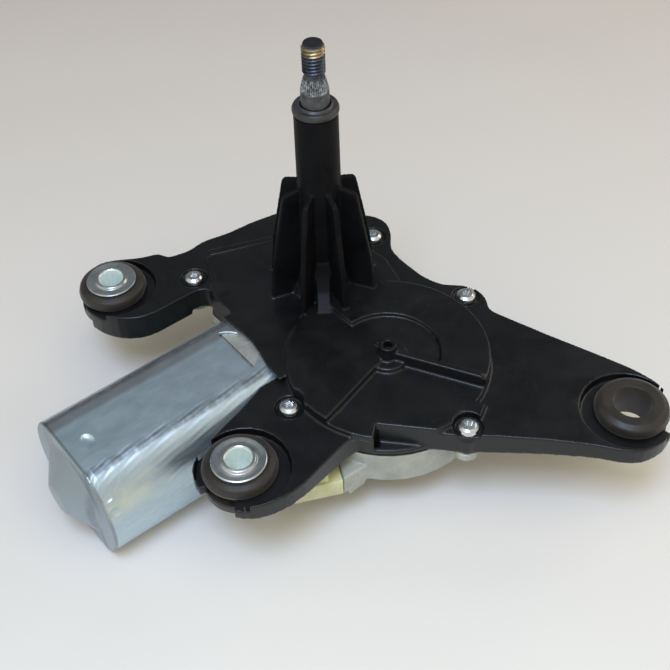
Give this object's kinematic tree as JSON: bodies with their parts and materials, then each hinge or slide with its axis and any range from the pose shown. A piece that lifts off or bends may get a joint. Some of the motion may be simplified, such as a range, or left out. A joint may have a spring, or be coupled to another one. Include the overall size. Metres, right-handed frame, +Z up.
{
  "type": "wiper motor assembly",
  "caption": "Rear wiper motor: flat-sided motor can, worm gearbox in a three-armed black plastic housing with rubber mounts, and a finned spindle tube with a threaded wiper shaft.",
  "frame": {"origin": "the centre of the flat outer end of the wiper shaft, on the shaft axis; the upper faces of the two metal mounting bushings lie 105.2 mm below it", "axes": "+Z up along the wiper shaft towards its threaded tip; +X parallel to the motor axis, from the motor tail towards the gearbox; +Y completes the right-handed frame"},
  "size_m": [0.1878, 0.2042, 0.15],
  "materials": {
    "housing_plastic": "satin black glass-filled",
    "cap_plastic": "satin",
    "cover_nylon": "natural white, satin",
    "connector_plastic": "pale green, satin",
    "gear_plastic": "natural, satin",
    "brush_card": "satin",
    "rubber": "matt dark brown",
    "gasket_rubber": "matt",
    "zinc": "zinc plated, satin",
    "steel": "machined",
    "dark_steel": "phosphated",
    "lamination": "matt",
    "ferrite": "matt",
    "copper": "bright copper",
    "contact_brass": "satin",
    "bronze": "sintered, matt",
    "carbon": "matt graphite"
  },
  "bodies": {
    "base": {"gear_housing": "housing_plastic", "upper_bush": "bronze", "lower_bush": "bronze", "shaft_seal": "rubber", "tube_cap": "cap_plastic", "thrust_washer": "steel", "quadrant_pin": "steel", "quadrant_clip": "dark_steel", "wheel_axle": "steel", "axle_clip": "dark_steel", "magnet_front": "ferrite", "magnet_back": "ferrite", "motor_can": "zinc", "rear_bearing": "bronze", "end_bracket": "zinc", "motor_screw_1": "zinc", "motor_screw_2": "zinc", "front_bearing": "bronze", "end_bearing": "bronze", "thrust_pad": "steel", "brush_holder": "brush_card", "brush_lower": "carbon", "brush_spring_lower": "steel", "brush_upper": "carbon", "brush_spring_upper": "steel", "lower_cover": "cover_nylon", "cover_gasket": "gasket_rubber", "connector_housing": "connector_plastic", "terminal_1": "contact_brass", "terminal_2": "contact_brass", "terminal_3": "contact_brass", "grommet_left": "rubber", "bushing_left": "zinc", "grommet_front": "rubber", "bushing_front": "zinc", "grommet_right": "rubber", "cover_screw_1": "zinc", "cover_screw_2": "zinc", "cover_screw_3": "zinc", "cover_screw_4": "zinc", "cover_screw_5": "zinc"},
    "spindle": {"wiper_shaft": "dark_steel", "output_pinion": "steel"},
    "quadrant": {"toothed_quadrant": "steel", "rod_pin": "steel"},
    "rod": {"connecting_rod": "steel"},
    "wheel": {"worm_wheel": "gear_plastic", "crank_pin": "steel", "park_contact_ring": "contact_brass"},
    "rotor": {"armature_shaft": "steel", "armature_core": "lamination", "winding_front": "copper", "winding_rear": "copper", "commutator": "copper"}
  },
  "joints": [
    {"name": "wiper_shaft_turn", "type": "hinge", "parent": "base", "child": "spindle", "pos_m": [0, 0, -0.1052], "axis": [0, 0, 1], "range_deg": [-57, 57]},
    {"name": "quadrant_swing", "type": "hinge", "parent": "base", "child": "quadrant", "pos_m": [-0.008, 0.0268, -0.1172], "axis": [0, 0, 1], "range_deg": [-23, 23]},
    {"name": "rod_pivot", "type": "hinge", "parent": "quadrant", "child": "rod", "pos_m": [-0.02539, 0.01594, -0.1202], "axis": [0, 0, 1], "range_deg": [-23, 23]},
    {"name": "rotor_spin", "type": "hinge", "parent": "base", "child": "rotor", "pos_m": [0, -0.0083, -0.1282], "axis": [1, 0, 0], "continuous": true},
    {"name": "wheel_turn", "type": "hinge", "parent": "base", "child": "wheel", "pos_m": [-0.0072, -0.0471, -0.1282], "axis": [0, 0, 1], "continuous": true}
  ],
  "couplings": [
    {"joint": "quadrant_swing", "follows": "wiper_shaft_turn", "ratio": -0.4},
    {"joint": "rod_pivot", "follows": "wiper_shaft_turn", "ratio": 0.4},
    {"joint": "wheel_turn", "follows": "rotor_spin", "ratio": -0.016667}
  ]
}
